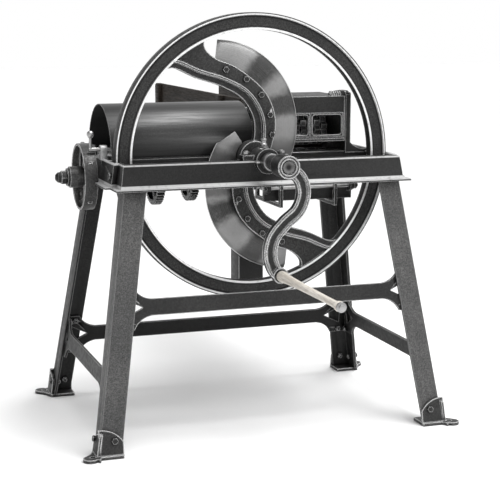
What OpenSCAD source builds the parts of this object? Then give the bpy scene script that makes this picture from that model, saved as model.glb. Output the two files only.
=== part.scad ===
// Hand-cranked chaff cutter: a splayed cast frame, a knife flywheel on a crank shaft,
// two toothed feed rollers driven through change gears, and a feed trough at the rear.
// Origin: floor level, midway between the four floor bolts. +X right, +Y towards the
// feed trough, +Z up. Millimetres.

/* [Frame] */
// Width over the top of the front bar
frame_w = 1016; // [980:2:1060]
// Depth over the tops of the front and rear bars
frame_d = 610; // [600:2:640]
// Height of the top of the bars, which is also the height of the main shaft
frame_h = 972; // [960:2:990]
// Outward lean of the legs and bar faces, per unit of height
lean = 0.15; // [0.13:0.01:0.16]
// Height of a frame bar
bar_h = 87; // [80:1:95]
// Thickness of the cast bars
bar_t = 14; // [12:1:16]
// Width of each leg flange
leg_w = 78; // [70:1:85]

/* [Flywheel] */
// Outer radius of the flywheel
wheel_r = 508; // [500:1:508]
// Radial height of the rim
rim_h = 60; // [50:1:64]
// Width of the rim along the shaft
rim_w = 42; // [38:1:43]
// Distance of the rim's front face behind the front bar's face
wheel_set = 120; // [116:1:122]

/* [Feed gearing] */
// Module of the spur and bevel gears
gear_m = 4.5; // [4.5]
// Teeth of the gear and pinion of the slow feed
slow_teeth = [48, 16];
// Teeth of the gear and pinion of the fast feed
fast_teeth = [44, 20];
// Teeth of the bevel wheel and bevel pinion
bevel_teeth = [36, 12];
// Radius of the lower feed roller
lower_r = 78; // [74:1:80]
// Radius of the upper feed roller
upper_r = 60; // [56:1:62]

/* [Crank] */
// Distance from the main shaft to the handle bolt
crank_r = 370; // [350:1:380]
// Length of the turned hand grip
grip_len = 520; // [300:5:550]

/* [Trough] */
// Distance of the trough's rear end behind the front bar's face
trough_end = 1700; // [1400:10:1750]
// Height of the trough's side boards
trough_h = 170; // [150:1:180]

/* [Hidden] */
$fn = 64;

hw = frame_w / 2;
front_y = -frame_d / 2;
top = frame_h;
bar_bot = top - bar_h;
flange_t = 8;                   // bottom flange of the bars
flange_w = 20;                  // how far it stands out
shelf_w = 44;                   // top flange of the front and rear bars
side_start = 62;                // where the side bars start, behind the front face
return_len = 100;               // short side returns of the front and rear bars
side_set = 18;                  // side bars stand this far outside the returns
side_t = 10;
leg_t = 10;
leg_top = top - 18;
floor_z = 0;
slack = 0.2;                    // gap between parts bolted face to face
fit = 0.05;                     // radial running clearance

main_r = 20;                    // shafts
counter_r = 15;
feed_r = 16;
bush_t = 6;
pressure_angle = 20;

wheel_y = front_y + wheel_set;
hub_r = 58;
arm_y = [wheel_y + 8, wheel_y + 33];
rib_y = [wheel_y - 6, wheel_y + 33];
bead_w = 8;                     // raised edges of the rim's front face
bead_h = 5;
knife_y = [arm_y[1] + slack, arm_y[1] + 8];
crank_y = [front_y - 202, front_y - 178];
crank_end = [-18, -sqrt(crank_r * crank_r - 18 * 18)];

// Feed shafts as [y, z]. The countershaft lies at the main shaft's height.
mesh_angle = 30;
gear_distance = gear_m * (slow_teeth[0] + slow_teeth[1]) / 2;
lower_yz = [front_y + 340, top - gear_distance * sin(mesh_angle)];
counter_yz = [lower_yz[0] + gear_distance * cos(mesh_angle), top];
roller_gap = 10;
star_distance = lower_r + roller_gap + upper_r;
upper_yz = [lower_yz[0], lower_yz[1] + star_distance];
lift = 28;                      // travel of the rising jaw

mouth_x = [84, 366];            // clear width between the cheeks
cheek_t = 14;
mouth_y = knife_y[1] + 4;       // plane of the mouth
jaw_x = [mouth_x[0] + 4, mouth_x[1] - 4];
roller_x = [mouth_x[0] + 8, mouth_x[1] - 8];
upper_x = [jaw_x[0] + 16, jaw_x[1] - 16];
mid_y = front_y + 178;          // front face of the mid bar
bed_y = front_y + 254;
ledger_t = 8;

slow_x = [-324, -296];          // faces of the change gears
fast_x = [-194, -166];
sleeve_x = [-282, -234];
shift_travel = 24;
star_x = [36, 62];
bevel_apex = counter_yz[0];
bevel_face = 22;
pulley_x = [-592, -546];
pulley_r = 120;
shift_yz = [front_y + 258, top + 32];

pivot_yz = [front_y + 176, top - 122];
link_y = front_y + 434;
link_x = [jaw_x[0] + 9, jaw_x[1] - 9];
arm_x = [link_x[0] + 22, link_x[1] - 22];
tail_yz = [front_y + 560, pivot_yz[1]];

cover_yz = [front_y + 402, top - 6];
cover_r = 188;
cover_x = [-498, 33];

iron = "dimgray";
steel = "silver";
bright = "gainsboro";

// ---------- helpers ----------

// Extrude a (y, z) outline from x0 to x1
module along_x(x0, x1) translate([x0, 0, 0]) rotate([90, 0, 90]) linear_extrude(x1 - x0) children();

// Extrude an (x, z) outline from y0 to y1
module along_y(y0, y1) translate([0, y1, 0]) rotate([90, 0, 0]) linear_extrude(y1 - y0) children();

module rod_x(x0, x1, r, yz) along_x(x0, x1) translate(yz) circle(r);

module rod_y(y0, y1, r, x, z) along_y(y0, y1) translate([x, z]) circle(r);

module box(lo, hi) translate(lo) cube(hi - lo);

module ring(r0, r1) difference() {
    circle(r1, $fn = 128);
    circle(r0, $fn = 128);
}

module both_x() for (s = [0, 1]) mirror([s, 0, 0]) children();

// Hexagon bolt along +Z: head below z = 0, nut above z = grip
module hex_bolt(d, grip, head = true, nut = true) {
    translate([0, 0, -1.3]) cylinder(r = d / 2, h = grip + 1.6 + (nut ? d : 0));
    if (head) translate([0, 0, -0.3 - 0.65 * d]) cylinder(r = 0.95 * d, h = 0.65 * d, $fn = 6);
    if (nut) translate([0, 0, grip + 0.3]) cylinder(r = 0.95 * d, h = 0.75 * d, $fn = 6);
}

// Smooth curve through points p, with n steps between neighbours
function curve_at(a, b, c, d, t) = 0.5 * (2 * b + (c - a) * t
    + (2 * a - 5 * b + 4 * c - d) * t * t + (3 * b - a - 3 * c + d) * t * t * t);
function curve(p, n = 6) = let (last = len(p) - 1) concat([for (i = [0:last - 1]) for (k = [0:n - 1])
    curve_at(p[max(i - 1, 0)], p[i], p[i + 1], p[min(i + 2, last)], k / n)], [p[last]]);

// The same curve moved sideways by d
function beside(p, d) = [for (i = [0:len(p) - 1]) let (
    v = p[min(i + 1, len(p) - 1)] - p[max(i - 1, 0)]) p[i] + d * [-v[1], v[0]] / norm(v)];
function reversed(p) = [for (i = [len(p) - 1:-1:0]) p[i]];
function arc(c, r, a0, a1, n = 12) = [for (i = [0:n]) let (a = a0 + (a1 - a0) * i / n)
    c + r * [cos(a), sin(a)]];

// Involute gear outline with n teeth, a tooth centred on the first axis
function inv(a) = tan(a) * 180 / PI - a;
function tooth_half(r, rp, n, backlash) = let (rb = rp * cos(pressure_angle))
    90 / n - backlash + inv(pressure_angle) - (r > rb ? inv(acos(rb / r)) : 0);
function gear_points(n, m, backlash = 0.25, foot = 1.25) = let (
    rp = m * n / 2, radii = [rp - foot * m, rp - 0.3 * m, rp + 0.35 * m, rp + m],
    half = [for (r = radii) tooth_half(r, rp, n, backlash)])
    [for (i = [0:n - 1]) for (k = [0:7]) let (j = k < 4 ? k : 7 - k,
        a = 360 * i / n + (k < 4 ? -1 : 1) * half[j]) radii[j] * [cos(a), sin(a)]];

module spur_gear(n, turn, x, bore, hub_x, hub, spokes = 0) difference() {
    union() {
        along_x(x[0], x[1]) difference() {
            rotate(turn) polygon(gear_points(n, gear_m));
            if (spokes > 0) difference() {
                circle(gear_m * n / 2 - 3 * gear_m);
                circle(hub + 4);
                for (i = [0:spokes - 1]) rotate(turn + 360 * i / spokes)
                    translate([0, -9]) square([gear_m * n / 2, 18]);
            }
        }
        rod_x(hub_x[0], hub_x[1], hub, [0, 0]);
    }
    rod_x(hub_x[0] - 1, hub_x[1] + 1, bore, [0, 0]);
}

// Section of a frame bar in (outward, up) from its top outer edge
function bar_points(t, shelf, out = flange_w) = let (lo = lean * (bar_h - flange_t), lb = lean * bar_h)
    [[0, top], [lo, bar_bot + flange_t], [lo + out, bar_bot + flange_t],
     [lb + out, bar_bot], [lb - t, bar_bot], [lean * shelf[1] - t, top - shelf[1]],
     [-shelf[0], top - shelf[1]], [-shelf[0], top]];

// Side outline that trims a bar to the leaning faces next to it
module lean_limit(half) {
    p = bar_points(bar_t, [bar_t, 0]);
    polygon(concat([for (i = [0:3]) p[i] + [half, 0]], [for (i = [3:-1:0]) [-p[i][0] - half, p[i][1]]]));
}

// ---------- frame ----------

module end_bar() {
    profile = bar_points(bar_t, [shelf_w, 12]);
    reach = flange_w + lean * bar_h;
    intersection() {
        along_x(-hw - reach, hw + reach) polygon([for (p = profile) [front_y - p[0], p[1]]]);
        along_y(front_y - 2 * reach, front_y + shelf_w + 1) lean_limit(hw);
    }
    intersection() {
        both_x() for (part = [[-reach, side_start - slack, flange_w], [0, return_len, 0]])
            along_y(front_y + part[0], front_y + part[1])
                polygon([for (p = bar_points(bar_t, [bar_t, 0], part[2])) [p[0] + hw, p[1]]]);
        along_x(-hw - reach, hw + reach) lean_limit(-front_y);
    }
}

corner_bolt_z = top - 46;
module corner_bolt_places() for (sx = [-1, 1]) for (sy = [-1, 1])
    translate([sx * (hw + side_set + lean * (top - corner_bolt_z)), sy * (-front_y - 80), corner_bolt_z])
        into_x(sx) children();
module corner_holes() corner_bolt_places() translate([0, 0, -40]) cylinder(r = 7, h = 90);

cap_ear = 64;
cap_bolt_y = 26;
boss_r = 44;
module front_bar() color(iron) difference() {
    union() {
        end_bar();
        rod_y(front_y - 26, front_y + 60, boss_r, 0, top);
        box([-cap_ear - 20, front_y + 2, top - 46], [cap_ear + 20, front_y + 56, top]);
    }
    box([-150, front_y - 60, top], [150, front_y + 90, top + 80]);
    rod_y(front_y - 60, front_y + 90, main_r + bush_t, 0, top);
    for (x = [-cap_ear, cap_ear]) translate([x, front_y + cap_bolt_y, top - 100]) cylinder(r = 7, h = 120);
    leg_bolt_holes();
    corner_holes();
}

module rear_bar() color(iron) difference() {
    mirror([0, 1, 0]) end_bar();
    leg_bolt_holes();
    corner_holes();
    for (x = [130, 320]) along_y(-front_y - 30, -front_y + 40) translate([x, top - 50]) circle(7);
}

module side_bar() difference() {
    union() {
        along_y(front_y + side_start, -front_y - side_start)
            polygon([for (p = bar_points(side_t, [side_t, 0])) [p[0] + hw + side_set, p[1]]]);
        for (y = [front_y + side_start, -front_y - side_start - 36]) along_y(y, y + 36)
            polygon([for (p = bar_points(side_set - slack, [side_set - slack, 0]))
                [p[0] + hw + side_set, p[1]]]);
        // Pads that the mid bar is bolted to
        along_y(mid_y, mid_y + bar_t) polygon([[hw + 8, top], [hw + side_set, top],
            [hw + side_set + lean * (bar_h - 12), bar_bot + 12], [hw + 8, bar_bot + 12]]);
    }
    corner_holes();
}

module left_side_bar() color(iron) difference() {
    union() {
        mirror([1, 0, 0]) side_bar();
        rod_x(-541, -500, 32, lower_yz);
        rod_x(-534, -500, 29, counter_yz);
        along_x(-530, -506) {
            translate(shift_yz) circle(15);
            translate([shift_yz[0] - 15, top - 30]) square([30, shift_yz[1] - top + 30]);
        }
    }
    rod_x(-600, -541.5, pulley_r + 5, lower_yz);
    rod_x(-600, -480, feed_r + bush_t, lower_yz);
    rod_x(-600, -480, counter_r + bush_t, counter_yz);
    rod_x(-600, -480, 7 + fit, shift_yz);
}

module right_side_bar() color(iron) side_bar();

deep = [60, 405];
lug_x = [[62, 78], [388, 404]];
module mid_bar() color(iron) difference() {
    union() {
        box([-hw - 7.8, mid_y, bar_bot], [hw + 7.8, mid_y + bar_t, top]);
        for (x = [[-hw + 14, -90], [446, hw - 14]])
            box([x[0], mid_y + bar_t - 1, top - 12], [x[1], mid_y + bar_t + 28, top]);
        box([deep[0], mid_y + bar_t + 5, 800], [deep[1], mid_y + bar_t + 17, bar_bot + 8]);
        box([deep[0], mid_y + bar_t - 1, bar_bot], [deep[1], mid_y + bar_t + 17, bar_bot + 8]);
        box([mouth_x[0] + 2, mid_y + bar_t - 1, top - 14], [mouth_x[1] - 2, bed_y, top]);
        for (x = lug_x) hull() {
            rod_x(x[0], x[1], 15, pivot_yz, $fn = 32);
            box([x[0], mid_y + bar_t + 6, pivot_yz[1] - 24], [x[1], mid_y + bar_t + 8, pivot_yz[1] + 24]);
        }
    }
    rod_y(mid_y - 5, mid_y + 60, main_r + bush_t, 0, top);
    for (x = lug_x) rod_x(x[0] - 1, x[1] + 1, 7 + fit, pivot_yz);
    rear_bearing_holes();
    for (x = cheek_bolt_x) along_y(mid_y - 5, mid_y + 40) translate([x, top - 40]) circle(6);
}

// Leaning strip of width w in (outward, up), with its outer edge at out when z = top
function strip(out, w) = [for (p = [[0, foot_t], [0, leg_top], [w, leg_top], [w, foot_t]])
    [out + lean * (top - p[1]) - p[0], p[1]]];

// Angle-section leg at +x, -y: two flanges that both lean out in both directions
module leg_shape() {
    inner = bar_t + slack;
    for (w = [[leg_w, leg_t], [leg_t, leg_w]]) intersection() {
        along_y(-1000, 0) polygon(strip(hw - inner, w[0]));
        along_x(0, 1000) polygon([for (p = strip(-front_y - inner, w[1])) [-p[0], p[1]]]);
    }
}

foot_t = 12;
lean_angle = atan(lean);
// Front face of a leg at height z, and its outer corner, both as distances from the centre
function face_y(z) = -front_y - bar_t - slack + lean * (top - z);
function corner_x(z) = hw - bar_t - slack + lean * (top - z);

leg_bolt_z = [top - 32, top - 62];
// Turn +Z to point squarely into a leaning face at +/-y or +/-x
module into_y(sy) rotate([sy * (90 + lean_angle), 0, 0]) children();
module into_x(sx) rotate([0, -sx * (90 + lean_angle), 0]) children();

module leg_bolt_places() for (sx = [-1, 1]) for (sy = [-1, 1]) for (z = leg_bolt_z)
    translate([sx * (corner_x(z) - 44), sy * face_y(z), z]) into_y(sy) children();
module leg_bolt_holes() leg_bolt_places() translate([0, 0, -10.6]) cylinder(r = 6, h = 60);

str_z = 492;                    // middle of the front stretcher
low_z = 243;                    // middle of the rear and side stretchers
str_h = 58;
str_t = 10;
fork_h = 150;
fork_len = 130;

module fork_bolt_places() for (sx = [-1, 1]) for (sy = [-1, 1]) for (dz = [-58, 58]) {
    zy = (sy < 0 ? str_z : low_z) + dz;
    zx = low_z + dz;
    translate([sx * (corner_x(zy) - 50), sy * face_y(zy), zy]) into_y(sy) children();
    translate([sx * corner_x(zx), sy * (face_y(zx) - 42), zx]) into_x(sx) children();
}

foot_bolt_z = 58;
module foot_bolt_places() for (sx = [-1, 1]) for (sy = [-1, 1]) {
    z = foot_bolt_z;
    translate([sx * (corner_x(z) - 46), sy * face_y(z), z]) into_y(sy) children();
    translate([sx * corner_x(z), sy * (face_y(z) - 40), z]) into_x(sx) children();
}

module leg(sx, sy) color(iron) difference() {
    scale_sign(sx, sy) leg_shape();
    leg_bolt_holes();
    fork_bolt_places() translate([0, 0, 3]) cylinder(r = 6, h = 60);
    foot_bolt_places() translate([0, 0, -30]) cylinder(r = 6, h = 60);
}

module scale_sign(sx, sy) mirror([sx < 0 ? 1 : 0, 0, 0]) mirror([0, sy > 0 ? 1 : 0, 0]) children();

toe = 8;                        // toe's round end lies this far past the bolt, both ways
floor_hole_r = 9;
// Foot bracket at +x, -y: a domed plate in front, a side plate and a toe with a floor bolt hole
floor_bolt = [corner_x(0) + 22, face_y(0) + 4];
module foot(sx, sy) color(iron) difference() {
    scale_sign(sx, sy) {
        x0 = corner_x(0);
        y0 = -face_y(0);
        linear_extrude(foot_t - slack) difference() {
            union() {
                translate([x0 - 84, y0 - 14]) square([90, 84]);
                translate([floor_bolt[0], -floor_bolt[1]] + toe * [1, -1]) circle(26);
                translate([floor_bolt[0], -floor_bolt[1]] + toe * [1, -1]) rotate(-45) mirror([1, 0])
                    translate([0, -25.4]) square([70, 50.8]);
                polygon([[x0 - 84, y0 - 14], [x0 - 6, y0 - 14], [x0 + 2, y0 - 38], [x0 + 36, y0],
                    [x0 + 6, y0 + 70]]);
            }
            translate([floor_bolt[0], -floor_bolt[1]]) circle(floor_hole_r);
        }
        // Domed front plate lying on the leg's face
        translate([x0 - 86, y0 - slack, 0]) rotate([-lean_angle, 0, 0]) along_y(-10, 0)
            intersection() {
                translate([80, 5]) circle(94);
                translate([0, 5]) square([86, 130]);
            }
        // Side plate
        translate([x0 + slack, y0, 0]) rotate([0, -lean_angle, 0]) along_x(0, 10)
            intersection() {
                translate([0, 6]) circle(80);
                translate([-8, 5]) square([74, 110]);
            }
    }
    foot_bolt_places() translate([0, 0, -30]) cylinder(r = 6, h = 60);
    translate([0, 0, -40]) cube([2000, 2000, 80], center = true);
}

// Flat stretcher with a forked, curved end at each leg, drawn about its own middle
module stretcher_outline(half) {
    r = (fork_h - str_h) / 2 + 30;
    slant = lean * fork_h / 2;
    low = [[half - fork_len + 8, -str_h / 2], [half - fork_len + 8, -fork_h / 2], [half + slant, -fork_h / 2]];
    high = [[half - slant, fork_h / 2], [half - fork_len + 8, fork_h / 2], [half - fork_len + 8, str_h / 2]];
    right = concat(low, high);
    difference() {
        polygon(concat(right, reversed([for (p = right) [-p[0], p[1]]])));
        for (sx = [-1, 1]) {
            for (sz = [-1, 1]) translate([sx * (half - fork_len), sz * (str_h / 2 + r + 0.3)]) circle(r);
            polygon([[sx * (half - 24), -34], [sx * (half - 24), 34], [sx * (half - 92), 0]]);
        }
    }
}

module end_stretcher(sy) {
    z = sy < 0 ? str_z : low_z;
    scale_sign(1, sy) translate([0, -face_y(z) + leg_t + slack, z]) rotate([-lean_angle, 0, 0])
        along_y(0, str_t) stretcher_outline(corner_x(z) - leg_t - 4);
}

module side_stretcher(sx) {
    z = low_z;
    scale_sign(sx, -1) translate([corner_x(z) - leg_t - str_t - slack, 0, z]) rotate([0, -lean_angle, 0])
        along_x(0, str_t) stretcher_outline(face_y(z) - leg_t - str_t - 8);
}

module stretcher(sx, sy) color(iron) difference() {
    if (sy != 0) end_stretcher(sy); else side_stretcher(sx);
    fork_bolt_places() translate([0, 0, -30]) cylinder(r = 6, h = 60);
}

module frame_bolts() color(iron) {
    leg_bolt_places() translate([0, 0, -9]) hex_bolt(11.6, leg_t + 10, head = false);
    corner_bolt_places() hex_bolt(13.6, side_set + bar_t - 3, nut = false);
}

module stretcher_bolts() color(iron) {
    // Tapped into the leg from inside
    fork_bolt_places() translate([0, 0, 4.6]) hex_bolt(11.6, leg_t + str_t - 3, head = false);
    foot_bolt_places() translate([0, 0, -11.5]) hex_bolt(11.6, leg_t + 13.5);
}

// ---------- bearings ----------

module front_bearing_cap() color(iron) difference() {
    union() {
        rod_y(front_y - 24, front_y + 58, boss_r, 0, top);
        box([-cap_ear - 19, front_y + 4, top - 10], [cap_ear + 19, front_y + 48, top + 20]);
        translate([0, front_y + cap_bolt_y, top]) cylinder(r = 14, h = boss_r + 6);
    }
    box([-150, front_y - 60, top - 80], [150, front_y + 90, top + slack]);
    rod_y(front_y - 60, front_y + 90, main_r + bush_t, 0, top);
    for (x = [-cap_ear, cap_ear]) translate([x, front_y + cap_bolt_y, top - 20]) cylinder(r = 7, h = 60);
    translate([0, front_y + cap_bolt_y, top + 10]) cylinder(r = 6, h = 60);
}

module cap_bolts() color(steel) for (x = [-cap_ear, cap_ear])
    translate([x, front_y + cap_bolt_y, top - 46]) rotate([0, 0, 30]) hex_bolt(13.6, 66);

module oil_cup() color(bright) translate([0, front_y + cap_bolt_y, top + boss_r + 6]) {
    translate([0, 0, -18]) cylinder(r = 6 - fit, h = 20);
    rotate_extrude() polygon([[0, 0.2], [11, 0.2], [12, 6], [9, 9], [9, 17], [11, 19], [10, 24], [4, 27],
        [0, 28]]);
}

module rear_bearing_holes() for (p = [[-62, -46], [14, -60]])
    along_y(mid_y - 5, mid_y + 60) translate([p[0], top + p[1]]) circle(6);

module rear_bearing() color(iron) difference() {
    union() {
        rod_y(mid_y + bar_t + slack, mid_y + bar_t + 19, 40, 0, top);
        box([-84, mid_y + bar_t + slack, top - 74], [34, mid_y + bar_t + 14, top]);
    }
    rod_y(mid_y - 5, mid_y + 90, main_r + bush_t, 0, top);
    rear_bearing_holes();
}

module bush(x0, x1, shaft_r, yz) difference() {
    rod_x(x0, x1, shaft_r + bush_t - 0.03, yz);
    rod_x(x0 - 1, x1 + 1, shaft_r + fit, yz);
}

module bearing_bushes() color("goldenrod") {
    for (y = [[front_y - 25, front_y + 59], [mid_y - 5, mid_y + bar_t + 19]]) difference() {
        rod_y(y[0], y[1], main_r + bush_t - 0.03, 0, top);
        rod_y(y[0] - 1, y[1] + 1, main_r + fit, 0, top);
    }
    bush(-540.5, -500, feed_r, lower_yz);
    bush(-534, -500, counter_r, counter_yz);
    for (x = [[64, 84], [366, 386]]) bush(x[0], x[1], feed_r, lower_yz);
    bush(64, 84, counter_r, counter_yz);
}

// ---------- mouth ----------

module ledger_plate() color(bright) difference() {
    along_x(mouth_x[0] + 2, mouth_x[1] - 2) polygon([[knife_y[1] + 1.5, top + ledger_t],
        [knife_y[1] + 1.5, top + ledger_t - 2], [mid_y - 4, top + slack], [bed_y, top + slack],
        [bed_y, top + ledger_t - 3], [bed_y - 8, top + ledger_t]]);
    for (x = [130, 225, 320]) translate([x, mid_y + 30, top - 10]) cylinder(r1 = 2, r2 = 8, h = 19);
}

cheek_bolt_x = [57, 402];
cheek_top = top + 226;
module cheek_side() difference() {
    union() {
        polygon(concat([[mid_y + bar_t + slack, top - 68], [mid_y + bar_t + slack, top + slack], [mouth_y, top + slack],
            [mouth_y, cheek_top - 18]], arc([mouth_y + 18, cheek_top - 18], 18, 180, 90, 4),
            curve([[mouth_y + 60, cheek_top], [mouth_y + 150, cheek_top - 14], [mouth_y + 240, cheek_top - 60],
                [counter_yz[0] + 30, top + 60]], 4),
            [[counter_yz[0] + 30, top - 30], [lower_yz[0] + 60, top - 100], [lower_yz[0], lower_yz[1] - 44],
             [lower_yz[0] - 50, top - 110]]));
        translate(lower_yz) circle(44);
        translate(counter_yz) circle(30);
    }
    // Slot for the rising roller shaft
    translate(upper_yz) circle(feed_r + 1.5);
    translate(upper_yz + [0, lift + 2]) circle(feed_r + 1.5);
    translate(upper_yz - [feed_r + 1.5, 0]) square([2 * feed_r + 3, lift + 2]);
}

module left_cheek() color(iron) difference() {
    union() {
        along_x(mouth_x[0] - cheek_t, mouth_x[0]) cheek_side();
        rod_x(64, mouth_x[0], 30, lower_yz);
        rod_x(64, mouth_x[0], 29, counter_yz);
        box([42, mid_y + bar_t + slack, top - 68], [mouth_x[0], mid_y + bar_t + 14, top - 14]);
    }
    rod_x(0, 120, feed_r + bush_t, lower_yz);
    rod_x(0, 120, counter_r + bush_t, counter_yz);
    along_y(mid_y, mid_y + 60) translate([cheek_bolt_x[0], top - 40]) circle(6);
}

module right_cheek() color(iron) difference() {
    union() {
        along_x(mouth_x[1], mouth_x[1] + cheek_t) cheek_side();
        rod_x(mouth_x[1], 386, 30, lower_yz);
        box([mouth_x[1], mid_y + bar_t + slack, top - 68], [424, mid_y + bar_t + 14, top - 14]);
        // Curved foot that stands on the mid bar
        along_y(mouth_y, mouth_y + 14) polygon(concat([[mouth_x[1] + 2, top + slack], [446, top + slack],
            [446, top + 12]], arc([446, top + 96], 84, -98, -155, 6), [[mouth_x[1] + 2, top + 130]]));
        along_x(mouth_x[1], mouth_x[1] + 20) polygon([[mouth_y, top + slack], [mouth_y + 10, top + slack],
            [mouth_y + 10, cheek_top - 6], [mouth_y + 6, cheek_top - 6], [mouth_y, cheek_top - 14]]);
    }
    rod_x(330, 400, feed_r + bush_t, lower_yz);
    along_y(mid_y, mid_y + 60) translate([cheek_bolt_x[1], top - 40]) circle(6);
}

jaw_bot = top + 44;
jaw_top = top + 208;
win_z = [top + 68, top + 140];
module window(x0, x1) {
    r = 9;
    along_y(mouth_y - 5, mouth_y + 30) {
        translate([x0 + r, win_z[0]]) square([x1 - x0 - 2 * r, win_z[1] - win_z[0]]);
        translate([x0, win_z[0] + r]) square([x1 - x0, win_z[1] - win_z[0] - 2 * r]);
        for (x = [x0 + r, x1 - r]) for (z = [win_z[0] + r, win_z[1] - r]) translate([x, z]) circle(r);
    }
}

win_x = [[104, 218], [236, 348]];
module upper_jaw() color(iron) difference() {
    union() {
        box([jaw_x[0], mouth_y, jaw_bot], [jaw_x[1], mouth_y + 14, jaw_top]);
        // Mouldings round the windows and along the lip
        box([jaw_x[0], mouth_y - 1.5, jaw_bot], [jaw_x[1], mouth_y + 1, jaw_bot + 10]);
        for (w = win_x) box([w[0] - 7, mouth_y - 1.5, win_z[0] - 7], [w[1] + 7, mouth_y + 1, win_z[1] + 7]);
        // Throat plate and top
        box([jaw_x[0], mouth_y, jaw_bot], [jaw_x[1], mouth_y + 80, jaw_bot + 10]);
        box([jaw_x[0], mouth_y, jaw_top - 12], [jaw_x[1], mouth_y + 250, jaw_top]);
        for (x = [[jaw_x[0], jaw_x[0] + 14], [jaw_x[1] - 14, jaw_x[1]]]) along_x(x[0], x[1])
            polygon([[mouth_y, jaw_bot], [mouth_y + 280, jaw_bot], [mouth_y + 280, jaw_bot + 60],
                [mouth_y + 250, jaw_top], [mouth_y, jaw_top]]);
        // Spring housing beside the right cheek
        for (i = [0:4]) rod_x(312 + 8 * i, 317 + 8 * i, 17, [mouth_y + 22, jaw_top]);
        rod_x(308, 352, 12, [mouth_y + 22, jaw_top]);
    }
    for (w = win_x) window(w[0], w[1]);
    rod_x(60, 400, feed_r + fit, upper_yz);
    for (x = link_x) translate([x, link_y, jaw_bot - 5]) cylinder(r = 6, h = 45);
}

module link_rods() color(steel) for (x = link_x) translate([x, link_y, 0]) {
    translate([0, 0, pivot_yz[1] - 32]) cylinder(r = 6 - fit, h = jaw_bot + 38 - pivot_yz[1] + 32);
    translate([0, 0, pivot_yz[1] - 27]) cylinder(r = 12, h = 14, $fn = 6);
}

module fulcrum_rod() color(steel) rod_x(48, 420, 7, pivot_yz);

module fulcrum_nuts() color(steel) for (x = [[52, 61], [405, 415]]) difference() {
    along_x(x[0], x[1]) translate(pivot_yz) rotate(30) circle(14, $fn = 6);
    rod_x(x[0] - 1, x[1] + 1, 7 + 0.02, pivot_yz);
}

// ---------- trough and cover ----------

floor_y = lower_yz[0] + 38;
board_z = top + 1;
wall_y = counter_yz[0] + 36;
end_y = front_y + trough_end;
module trough() color("peru") difference() {
    union() {
        box([roller_x[0], floor_y, board_z], [roller_x[1], end_y, board_z + 12]);
        for (x = [mouth_x[0] - cheek_t, mouth_x[1]])
            box([x, wall_y, board_z], [x + cheek_t, end_y, board_z + trough_h + 12]);
        box([mouth_x[0] - cheek_t, wall_y, board_z], [mouth_x[1] + cheek_t, end_y, board_z + 12]);
        // Outside battens
        for (y = [wall_y + 200, end_y - 70]) for (x = [mouth_x[0] - cheek_t - 14, mouth_x[1] + cheek_t])
            box([x, y, board_z], [x + 14, y + 60, board_z + trough_h + 12]);
    }
    for (x = link_x) translate([x, link_y, board_z - 5]) cylinder(r = 10, h = 30);
}

module trough_stays() color(iron) for (x = [130, 320]) difference() {
    along_x(x - 18, x + 18) polygon([[-front_y + 32, bar_bot + 12], [-front_y + 32, top - 14],
        [-front_y + 26, top - 14], [-front_y + 26, top - slack], [520 - 305 + 700, top - slack],
        [520 - 305 + 700, top - 8], [850, top - 8], [-front_y + 44, bar_bot + 12]]);
}

module gear_cover() color("slategray") difference() {
    along_x(cover_x[0], cover_x[1]) difference() {
        translate(cover_yz) circle(cover_r, $fn = 128);
        translate(cover_yz) circle(cover_r - 3, $fn = 128);
        translate([cover_yz[0] - 300, top - 400 + slack]) square([600, 400]);
    }
    // Notch over the main shaft
    box([-main_r - 6, cover_yz[0] - cover_r - 10, top - 10],
        [cover_x[1] + 10, cover_yz[0] - cover_r + 40, top + main_r + 6]);
}

// ---------- flywheel, knives and crank ----------

module main_shaft() color(steel) {
    rod_y(front_y - 226, bevel_apex - 57, main_r, 0, top);
    rod_y(front_y - 62, front_y - 26.5, 30, 0, top);
}

// Curved arm: a band about arm_c that swings back into the rim
arm_c = [-160, 90];
arm_in = [[20, 20], [34, 80], [24, 156], [-26, 231], [-111, 278], [-202, 306], [-283, 340], [-335, 332],
    [-385, 290]];
arm_out = [[58, 8], [81, 100], [70, 179], [24, 250], [-66, 318], [-142, 349], [-182, 388], [-176, 430]];
mid_rim = wheel_r - rim_h / 2;
arm_edge = curve(arm_in, 5);
arm_flange = [34, 22];          // how far the flange stands out of the arm, at the hub and at the rim
module arm_outline() {
    n = len(arm_edge) - 1;
    polygon(concat(arm_edge, arc([0, 0], mid_rim, 143, 112, 8), reversed(curve(arm_out, 5))));
    intersection() {
        polygon(concat([for (i = [0:n])
            beside(arm_edge, arm_flange[0] + (arm_flange[1] - arm_flange[0]) * i / n)[i]],
            reversed(beside(arm_edge, -8))));
        circle(wheel_r - rim_h + 5, $fn = 128);
    }
}
module rib_outline() intersection() {
    polygon(concat(beside(arm_edge, 4), reversed(beside(arm_edge, -5))));
    circle(wheel_r - rim_h + 3, $fn = 128);
}

// Face bolts that hold a knife to its arm
knife_bolt_xz = [for (a = [76, 55, 35, 15, -3]) arm_c + 227 * [cos(a), sin(a)]];

module flywheel() color(iron) translate([0, 0, top]) difference() {
    union() {
        along_y(wheel_y, wheel_y + rim_w) ring(wheel_r - rim_h, wheel_r);
        for (turn = [0, 180]) rotate([0, turn, 0]) {
            along_y(arm_y[0], arm_y[1]) arm_outline();
            along_y(rib_y[0], rib_y[1]) rib_outline();
        }
        rod_y(wheel_y - 8, wheel_y + rim_w - 1, hub_r, 0, 0);
    }
    along_y(wheel_y - 1, wheel_y + bead_h) ring(wheel_r - rim_h + bead_w, wheel_r - bead_w);
    rod_y(wheel_y - 20, wheel_y + 60, main_r, 0, 0);
    for (turn = [0, 180]) rotate([0, turn, 0]) for (p = knife_bolt_xz)
        along_y(arm_y[0] - 5, arm_y[1] + 5) translate(p) circle(6);
}

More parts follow.
